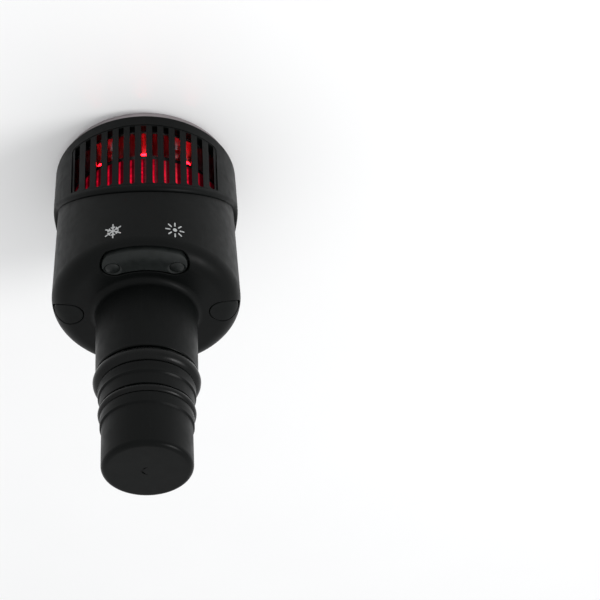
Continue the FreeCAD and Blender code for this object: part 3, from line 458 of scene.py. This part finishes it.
MATERIALS = {
    # The pink in the plate's colour is a painted reflection of the red light inside the head; the
    # aluminium itself is grey.
    "plate_metal": turned_metal("satin_aluminium", (0.36, 0.325, 0.335), 0.34),
    "seal_rubber": soft_rubber("sealing_rubber", 0.006, 0.7),
    "ring_plastic": moulded_plastic("vent_ring_black", 0.0034, 0.44),
    "shell_plastic": moulded_plastic("shell_black", 0.0032, 0.42, worn_heights=WORN_EDGES),
    "pad_rubber": soft_rubber("button_pad_black", 0.0105, 0.46, 0.2),
    "button_rubber": soft_rubber("button_black", 0.0085, 0.42, 0.2),
    "plug_plastic": moulded_plastic("plug_black", 0.0050, 0.50, 0.25 * MM),
    "ring_rubber": soft_rubber("o_ring_rubber", 0.0020, 0.28, 0.15),
    "icon_ink": speckled("silver_print", (0.30, 0.31, 0.31), (0.48, 0.49, 0.49), 0.5, 0.25 * MM),
    "ceramic_white": speckled("alumina", (0.80, 0.80, 0.76), (0.88, 0.88, 0.85), 0.6),
    "pellet_metal": metal("sawn_telluride", (0.35, 0.35, 0.38), 0.4),
    "foam_grey": speckled("closed_cell_foam", (0.08, 0.08, 0.085), (0.16, 0.16, 0.165), 0.85,
                          0.6 * MM, depth=0.04 * MM),
    "sink_aluminium": metal("heat_sink_aluminium", (0.50, 0.50, 0.52), 0.34, (1, 8, 1)),
    "screw_steel": metal("zinc_plated_steel", (0.56, 0.56, 0.58), 0.3),
    "board_green": speckled("green_solder_mask", (0.015, 0.12, 0.04), (0.03, 0.17, 0.07), 0.3, 1.0 * MM),
    "board_black": speckled("black_solder_mask", (0.006, 0.006, 0.007), (0.012, 0.012, 0.013), 0.4,
                            1.0 * MM),
    "led_red": lit_chip("red_led"),
    "guide_clear": guide_with_painted_light("light_guide_red"),
    "fan_black": moulded_plastic("glass_filled_black", 0.012, 0.55, 0.15 * MM),
    "bearing_brass": metal("sintered_brass", (0.62, 0.45, 0.2), 0.42, size=0.1 * MM),
    "chip_black": speckled("moulded_epoxy", (0.015, 0.015, 0.016), (0.03, 0.03, 0.032), 0.5, 0.2 * MM),
    "socket_steel": metal("nickel_plated_steel", (0.62, 0.61, 0.60), 0.22),
    "cell_wrap": speckled("blue_shrink_wrap", (0.02, 0.10, 0.32), (0.03, 0.14, 0.38), 0.3, 3.0 * MM),
    "sensor_epoxy": speckled("epoxy_bead", (0.02, 0.02, 0.025), (0.04, 0.04, 0.05), 0.25, 0.3 * MM),
}


def paint_cad_nodes():
    slots = {part["node"]: part["material_slot"] for part in frame["record"]["subparts"]}
    for node, made in frame["nodes"].items():
        made.data.materials.clear()
        made.data.materials.append(MATERIALS[slots[node]])


paint_cad_nodes()


# ---- reading the frame ------------------------------------------------------------------

def solids_of(node):
    """The separate solids of a CAD node, each as (lowest corner, highest corner)."""
    shape = bmesh.new()
    shape.from_mesh(frame["nodes"][node].data)
    bmesh.ops.remove_doubles(shape, verts=shape.verts, dist=WELD)
    waiting = set(shape.verts)
    boxes = []
    while waiting:
        group = [waiting.pop()]
        for vertex in group:
            near = {edge.other_vert(vertex) for edge in vertex.link_edges} & waiting
            waiting -= near
            group.extend(near)
        low = Vector([min(vertex.co[axis] for vertex in group) for axis in range(3)])
        high = Vector([max(vertex.co[axis] for vertex in group) for axis in range(3)])
        boxes.append((low, high))
    shape.free()
    return sorted(boxes, key=lambda box: tuple(round(part, 6) for part in box[0]))


def middle_of(box):
    return (box[0] + box[1]) / 2


def points_mesh(name, places, turns=None):
    """A mesh of loose points, with the angle about Z of whatever stands on each."""
    mesh = bpy.data.meshes.new(name)
    mesh.from_pydata(places, [], [])
    turn = mesh.attributes.new("turn", "FLOAT", "POINT")
    turn.data.foreach_set("value", turns or [0.0] * len(places))
    return mesh


def outward(made):
    """Merges doubles and points every face outwards."""
    shape = bmesh.new()
    shape.from_mesh(made.data)
    bmesh.ops.remove_doubles(shape, verts=shape.verts, dist=FINE_WELD)
    bmesh.ops.recalc_face_normals(shape, faces=shape.faces)
    shape.to_mesh(made.data)
    shape.free()
    return made


# ---- rubber rings -----------------------------------------------------------------------

def rubber_ring_tree():
    """A round rubber ring with the thin moulding line that runs along its outside."""
    tree = Tree("rubber_ring", Middle_Radius=10 * MM, Section_Radius=1 * MM, Height=0.0,
                Line_Height=0.02 * MM, Line_Width=0.12 * MM, Steps=160, Section_Steps=40)
    ask = tree.inputs
    path = tree.add("GeometryNodeCurvePrimitiveCircle",
                    {"Resolution": ask["Steps"], "Radius": ask["Middle Radius"]}).outputs[0]
    section = tree.add("GeometryNodeCurvePrimitiveCircle",
                       {"Resolution": ask["Section Steps"], "Radius": ask["Section Radius"]}).outputs[0]
    ring = tree.add("GeometryNodeCurveToMesh", {"Curve": path, "Profile Curve": section}).outputs[0]
    x, y, z = tree.position()
    squares = tree.math("ADD", tree.math("MULTIPLY", x, x), tree.math("MULTIPLY", y, y))
    reach = tree.math("SQRT", squares)
    outside = tree.math("GREATER_THAN", reach, ask["Middle Radius"])
    near = tree.math("LESS_THAN", tree.math("ABSOLUTE", z), ask["Line Width"])
    lift = tree.math("MULTIPLY", tree.math("MULTIPLY", outside, near), ask["Line Height"])
    normal = tree.add("GeometryNodeInputNormal").outputs[0]
    offset = tree.add("ShaderNodeVectorMath", {0: normal, "Scale": lift}, operation="SCALE").outputs[0]
    ring = tree.add("GeometryNodeSetPosition", {"Geometry": ring, "Offset": offset}).outputs[0]
    return tree.end(tree.moved(ring, tree.vector(z=ask["Height"])))


def make_rubber_rings():
    tree = rubber_ring_tree()
    for node in ("large_o_ring", "small_o_ring"):
        low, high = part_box(node)
        section = (high.z - low.z) / 2
        ring = grown(node + "_rubber", tree, MATERIALS["ring_rubber"], Middle_Radius=high.x - section,
                     Section_Radius=section, Height=(low.z + high.z) / 2)
        stand_for(smooth(outward(ring), degrees=60), node)


# ---- vent grilles -----------------------------------------------------------------------

def vent_grille_tree():
    """A panel bent around the axis, with a thin flange behind it and a row of slots cut along Y.
    Its far edge and the ends of the slots follow the sloping seam."""
    tree = Tree("vent_grille", Slots=SLOT_COUNT, Pitch=SLOT_PITCH, Slot_Width=SLOT_WIDTH,
                Slot_Top=SLOT_TOP, Slot_Land=SLOT_LAND, Half_Width=16.85 * MM, Top=5.8 * MM,
                Panel_Land=PANEL_LAND, Panel_Thickness=PANEL_THICKNESS, Corner=0.85 * MM,
                Face_Radius=21.7 * MM, Flange_Width=FLANGE_WIDTH, Flange_Drop=FLANGE_DROP,
                Flange_Land=FLANGE_END_LAND, Flange_Thickness=FLANGE_THICKNESS,
                Seam_Height=SEAM_HEIGHT, Slope=SEAM_SLOPE, Steps=260)
    ask = tree.inputs

    def wall_at(x, radius):
        """How far the wall of the radius is from the XZ plane at x."""
        squares = tree.math("SUBTRACT", tree.math("POWER", radius, 2.0), tree.math("POWER", x, 2.0))
        return tree.math("SQRT", squares)

    def seam_at(wall):
        """Height of the sloping seam at that distance from the XZ plane."""
        return tree.math("ADD", ask["Seam Height"], tree.math("MULTIPLY", ask["Slope"], wall))

    def placed(flat, place):
        """Moves each point of a flat piece; the faces turn over as Y and Z change places."""
        bent = tree.add("GeometryNodeSetPosition", {"Geometry": flat, "Position": place}).outputs[0]
        return tree.add("GeometryNodeFlipFaces", {"Mesh": bent}).outputs[0]

    def blank(half_width, top, land, depth, thickness):
        """A bent plate: its near corners are round and its far edge follows the seam."""
        grid = tree.add("GeometryNodeMeshGrid",
                        {"Size X": tree.math("MULTIPLY", half_width, 2.0), "Size Y": 1.0,
                         "Vertices X": ask["Steps"], "Vertices Y": 2}).outputs[0]
        x, y, z = tree.position()
        straight = tree.math("SUBTRACT", half_width, ask["Corner"])
        past = tree.math("MAXIMUM", tree.math("SUBTRACT", tree.math("ABSOLUTE", x), straight), 0.0)
        lift = tree.math("SUBTRACT", ask["Corner"], wall_at(past, ask["Corner"]))
        near = tree.math("ADD", top, lift)
        far = tree.math("GREATER_THAN", y, 0.0)
        radius = tree.math("SUBTRACT", tree.math("SUBTRACT", ask["Face Radius"], depth), z)
        wall = wall_at(x, radius)
        span = tree.math("SUBTRACT", tree.math("SUBTRACT", seam_at(wall), land), near)
        height = tree.math("ADD", near, tree.math("MULTIPLY", far, span))
        place = tree.vector(x, tree.math("MULTIPLY", wall, -1.0), height)
        return placed(tree.thickened(grid, thickness), place)

    def cutters():
        """One cutter per slot, square at the slot's near end and round at the seam."""
        outline = tree.add("GeometryNodeCurvePrimitiveQuadrilateral",
                           {"Width": ask["Slot Width"], "Height": CUTTER_LENGTH}).outputs[0]
        far = tree.math("GREATER_THAN", tree.position()[1], 0.0)
        end_round = tree.math("MULTIPLY", ask["Slot Width"], SLOT_END_ROUND)
        fillet = {"Curve": outline, "Radius": tree.math("MULTIPLY", far, end_round), "Count": 7}
        outline = tree.add("GeometryNodeFilletCurve", fillet, mode="POLY").outputs[0]
        gaps = tree.math("SUBTRACT", ask["Slots"], 1.0)
        first = tree.math("MULTIPLY", gaps, tree.math("MULTIPLY", ask["Pitch"], -0.5))
        steps = {"Count": ask["Slots"], "Start Location": tree.vector(x=first),
                 "Offset": tree.vector(x=ask["Pitch"])}
        line = tree.add("GeometryNodeMeshLine", steps, mode="OFFSET").outputs[0]
        row = tree.add("GeometryNodeInstanceOnPoints", {"Points": line, "Instance": outline}).outputs[0]
        row = tree.add("GeometryNodeRealizeInstances", {"Geometry": row}).outputs[0]
        face = tree.add("GeometryNodeFillCurve", {"Curve": row}).outputs[0]
        x, y, z = tree.position()
        step = tree.math("ROUND", tree.math("DIVIDE", x, ask["Pitch"]))
        seam = seam_at(wall_at(tree.math("MULTIPLY", step, ask["Pitch"]), ask["Face Radius"]))
        far_end = tree.math("SUBTRACT", seam, ask["Slot Land"])
        far_shift = tree.math("SUBTRACT", far_end, CUTTER_LENGTH / 2)
        near_shift = tree.math("ADD", ask["Slot Top"], CUTTER_LENGTH / 2)
        far = tree.math("GREATER_THAN", y, 0.0)
        longer = tree.math("MULTIPLY", far, tree.math("SUBTRACT", far_shift, near_shift))
        height = tree.math("ADD", y, tree.math("ADD", near_shift, longer))
        front = tree.math("SUBTRACT", z, tree.math("MULTIPLY", ask["Face Radius"], CUTTER_START))
        return placed(tree.thickened(face, ask["Face Radius"]), tree.vector(x, front, height))

    overlap = tree.math("MULTIPLY", ask["Flange Thickness"], FLANGE_OVERLAP)
    full_depth = tree.math("ADD", ask["Panel Thickness"], overlap)
    panel = blank(ask["Half Width"], ask["Top"], ask["Panel Land"], 0.0, full_depth)
    flange = blank(tree.math("ADD", ask["Half Width"], ask["Flange Width"]),
                   tree.math("ADD", ask["Top"], ask["Flange Drop"]), ask["Flange Land"],
                   ask["Panel Thickness"], ask["Flange Thickness"])
    whole = tree.add("GeometryNodeMeshBoolean", operation="UNION", solver="EXACT")
    tree.put(whole.inputs[1], panel)
    tree.put(whole.inputs[1], flange)
    cut = tree.add("GeometryNodeMeshBoolean", {0: whole.outputs[0]}, operation="DIFFERENCE",
                   solver="EXACT")
    tree.put(cut.inputs[1], cutters())
    return tree.end(cut.outputs[0])


def make_grilles():
    tree = vent_grille_tree()
    for name, node in (("front_vent_slats", "vent_grille_front"),
                       ("back_vent_slats", "vent_grille_back")):
        low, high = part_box(node)
        made = grown(name, tree, MATERIALS["ring_plastic"], Half_Width=high.x - FLANGE_WIDTH,
                     Top=low.z, Face_Radius=max(-low.y, high.y))
        if high.y > 0:
            made.data.transform(Matrix.Rotation(math.pi, 4, "Z"))
        stand_for(smooth(outward(made), degrees=30), node)


# ---- light guides -----------------------------------------------------------------------

def fluted_guide_tree():
    """Half of a clear ring with upright flutes, one behind each vent slot."""
    tree = Tree("fluted_guide", Outer_Radius=18.85 * MM, Thickness=2 * MM, Height=10 * MM,
                Base_Height=14 * MM, Half_Angle=math.radians(GUIDE_HALF_ANGLE_DEG),
                Flute_Pitch=SLOT_PITCH, Flute_Depth=0.35 * MM, Shift=0.0, Steps=420, Tiers=8)
    ask = tree.inputs
    grid = tree.add("GeometryNodeMeshGrid",
                    {"Size X": tree.math("MULTIPLY", ask["Half Angle"], 2.0), "Size Y": ask["Height"],
                     "Vertices X": ask["Steps"], "Vertices Y": ask["Tiers"]}).outputs[0]
    flat = tree.thickened(grid, ask["Thickness"])
    angle, height, depth = tree.position()
    across = tree.math("MULTIPLY", tree.math("SINE", angle), ask["Outer Radius"])
    turns = tree.math("ADD", tree.math("DIVIDE", across, ask["Flute Pitch"]), ask["Shift"])
    lobe = tree.math("ABSOLUTE", tree.math("COSINE", tree.math("MULTIPLY", turns, math.pi)))
    groove = tree.math("MULTIPLY", tree.math("SUBTRACT", 1.0, lobe), ask["Flute Depth"])
    outer = tree.math("LESS_THAN", depth, tree.math("MULTIPLY", ask["Thickness"], 0.5))
    under = tree.math("ADD", depth, tree.math("MULTIPLY", groove, outer))
    radius = tree.math("SUBTRACT", ask["Outer Radius"], under)
    middle = tree.math("ADD", ask["Base Height"], tree.math("MULTIPLY", ask["Height"], 0.5))
    front = tree.math("MULTIPLY", radius, -1.0)
    place = tree.vector(tree.math("MULTIPLY", tree.math("SINE", angle), radius),
                        tree.math("MULTIPLY", tree.math("COSINE", angle), front),
                        tree.math("ADD", height, middle))
    bent = tree.add("GeometryNodeSetPosition", {"Geometry": flat, "Position": place})
    return tree.end(bent.outputs[0])


def make_light_guides():
    tree = fluted_guide_tree()
    for name, node, shift in (("front_guide_flutes", "light_guide_front", -GLOW_SHIFT),
                              ("back_guide_flutes", "light_guide_back", GLOW_SHIFT)):
        low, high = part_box(node)
        guide = grown(name, tree, MATERIALS["guide_clear"], Outer_Radius=max(-low.y, high.y),
                      Height=high.z - low.z, Base_Height=low.z, Shift=shift)
        if high.y > 0:
            guide.data.transform(Matrix.Rotation(math.pi, 4, "Z"))
        stand_for(smooth(outward(guide), degrees=30), node)


# ---- small pieces that stand in rows and circles ----------------------------------------

def blocks_tree():
    """Equal blocks that stand on points and may be narrower in their lower half."""
    tree = Tree("standing_blocks", Width=1 * MM, Depth=1 * MM, Height=1 * MM, Lower_Share=1.0)
    ask = tree.inputs
    size = tree.vector(ask["Width"], ask["Depth"], ask["Height"])
    cube = tree.add("GeometryNodeMeshCube", {"Size": size}).outputs[0]
    x, y, z = tree.position()
    top = tree.math("GREATER_THAN", z, 0.0)
    spread = tree.math("SUBTRACT", 1.0, ask["Lower Share"])
    share = tree.math("ADD", tree.math("MULTIPLY", top, spread), ask["Lower Share"])
    place = tree.vector(tree.math("MULTIPLY", x, share), tree.math("MULTIPLY", y, share), z)
    cube = tree.add("GeometryNodeSetPosition", {"Geometry": cube, "Position": place}).outputs[0]
    turn = tree.add("GeometryNodeInputNamedAttribute", {"Name": "turn"}, data_type="FLOAT").outputs[0]
    return tree.end(tree.on_points(cube, tree.vector(z=turn)))


def make_blocks(name, node, slot, tree, turned=False, **sizes):
    """Puts a block where each solid of the node is. Turned blocks face away from the axis."""
    boxes = solids_of(node)
    places = [middle_of(box) for box in boxes]
    turns = [math.atan2(place.y, place.x) - math.pi / 2 if turned else 0.0 for place in places]
    height = boxes[0][1].z - boxes[0][0].z
    points = points_mesh(name, places, turns)
    made = grown(name, tree, MATERIALS[slot], points, Height=height, **sizes)
    stand_for(outward(made), node)


def make_small_pieces():
    tree = blocks_tree()
    make_blocks("telluride_pellets", "peltier_pellets", "pellet_metal", tree,
                Width=PELLET_SIDE, Depth=PELLET_SIDE)
    make_blocks("lamp_chips", "leds", "led_red", tree, turned=True,
                Width=LAMP_WIDTH, Depth=LAMP_DEPTH, Lower_Share=LAMP_LOWER_SHARE)


def screw_tree():
    """Cross-recessed cap screws on points: the seat is at the point, the head above or below it."""
    tree = Tree("cap_screws", Head_Radius=1.8 * MM, Head_Height=1.3 * MM, Shank_Radius=1 * MM,
                Shank_Length=6 * MM, Thread_Pitch=0.45 * MM, Thread_Depth=0.14 * MM, Head_Down=0.0)
    ask = tree.inputs
    half_head = tree.math("MULTIPLY", ask["Head Height"], 0.5)
    head = tree.add("GeometryNodeMeshCylinder", {"Vertices": 36, "Radius": ask["Head Radius"],
                                                 "Depth": ask["Head Height"]}).outputs[0]
    head = tree.moved(head, tree.vector(z=half_head))
    long_side = tree.math("MULTIPLY", ask["Head Radius"], CROSS_LENGTH)
    short_side = tree.math("MULTIPLY", ask["Head Radius"], CROSS_WIDTH)
    for first, second, depth_share in ((long_side, short_side, CROSS_DEPTHS[0]),
                                       (short_side, long_side, CROSS_DEPTHS[1])):
        size = tree.vector(first, second, tree.math("MULTIPLY", ask["Head Height"], depth_share))
        bar = tree.add("GeometryNodeMeshCube", {"Size": size}).outputs[0]
        bar = tree.moved(bar, tree.vector(z=ask["Head Height"]))
        cut = tree.add("GeometryNodeMeshBoolean", {0: head}, operation="DIFFERENCE")
        tree.put(cut.inputs[1], bar)
        head = cut.outputs[0]
    shank = tree.add("GeometryNodeMeshCylinder",
                     {"Vertices": 24, "Side Segments": 96, "Radius": ask["Shank Radius"],
                      "Depth": ask["Shank Length"]}).outputs[0]
    x, y, z = tree.position()
    turns = tree.math("DIVIDE", z, ask["Thread Pitch"])
    wave = tree.math("COSINE", tree.math("MULTIPLY", turns, 2 * math.pi))
    half_thread = tree.math("MULTIPLY", ask["Thread Depth"], 0.5)
    cut_in = tree.math("MULTIPLY", tree.math("SUBTRACT", 1.0, wave), half_thread)
    share = tree.math("SUBTRACT", 1.0, tree.math("DIVIDE", cut_in, ask["Shank Radius"]))
    place = tree.vector(tree.math("MULTIPLY", x, share), tree.math("MULTIPLY", y, share), z)
    shank = tree.add("GeometryNodeSetPosition", {"Geometry": shank, "Position": place}).outputs[0]
    shank = tree.moved(shank, tree.vector(z=tree.math("MULTIPLY", ask["Shank Length"], -0.5)))
    over = tree.vector(x=tree.math("MULTIPLY", ask["Head Down"], math.pi))
    return tree.end(tree.on_points(tree.joined(head, shank), over))


def make_screws():
    tree = screw_tree()
    for name, node, head_height, shank_radius, head_down in SCREWS:
        boxes = solids_of(node)
        low, high = boxes[0]
        seat = low.z + head_height if head_down else high.z - head_height
        places = [Vector((middle_of(box).x, middle_of(box).y, seat)) for box in boxes]
        made = grown(name, tree, MATERIALS["screw_steel"], points_mesh(name, places),
                     Head_Height=head_height, Head_Radius=(high.x - low.x) / 2,
                     Shank_Radius=shank_radius, Shank_Length=high.z - low.z - head_height,
                     Head_Down=float(head_down))
        stand_for(smooth(outward(made), degrees=40), node)


make_rubber_rings()
make_grilles()
make_light_guides()
make_small_pieces()
make_screws()


# ---- floor, light and camera ------------------------------------------------------------

def pale_floor():
    half = FLOOR_SIZE / 2
    mesh = bpy.data.meshes.new("floor")
    corners = [(-half, -half, 0), (half, -half, 0), (half, half, 0), (-half, half, 0)]
    mesh.from_pydata(corners, [], [(0, 1, 2, 3)])
    finish = Finish("pale_floor", specular_ior_level=0.1)
    cloud = finish.noise(FLOOR_BLOTCH, 2.0)
    tone = finish.mix(cloud, grey(FLOOR_GREYS[0]), grey(FLOOR_GREYS[1]))
    finish.feed(base_color=tone, roughness=finish.span(cloud, 0.7, 0.8))
    mesh.materials.append(finish.material)
    new_object("floor", mesh)


def soft_world():
    world = bpy.data.worlds.new("soft_world")
    world.use_nodes = True
    background = world.node_tree.nodes["Background"]
    background.inputs["Color"].default_value = opaque(WORLD_GREY)
    background.inputs["Strength"].default_value = 1.0
    bpy.context.scene.world = world


def softbox(name, direction, distance, size, power, target):
    light = bpy.data.lights.new(name, "AREA")
    light.shape = "DISK"
    light.size = size
    light.energy = power
    lamp = new_object(name, light)
    lamp.location = target + direction.normalized() * distance
    lamp.rotation_mode = "QUATERNION"
    lamp.rotation_quaternion = (-direction).to_track_quat("-Z", "Y")


def main_camera():
    camera = new_object("camera", bpy.data.cameras.new("camera"))
    camera.data.lens = CAMERA_LENS
    camera.data.sensor_width = CAMERA_SENSOR
    camera.data.clip_start = CAMERA_CLIP_START
    camera.location = CAMERA_AT
    camera.rotation_mode = "QUATERNION"
    level = (CAMERA_AIM - CAMERA_AT).to_track_quat("-Z", "Y")
    camera.rotation_quaternion = level @ Quaternion((0, 0, 1), math.radians(CAMERA_ROLL_DEG))
    bpy.context.scene.camera = camera


pale_floor()
soft_world()
softbox("key_light", KEY_FROM, KEY_DISTANCE, KEY_SIZE, KEY_POWER, middle_of(cad_box))
main_camera()
bpy.context.scene.view_settings.view_transform = "Standard"
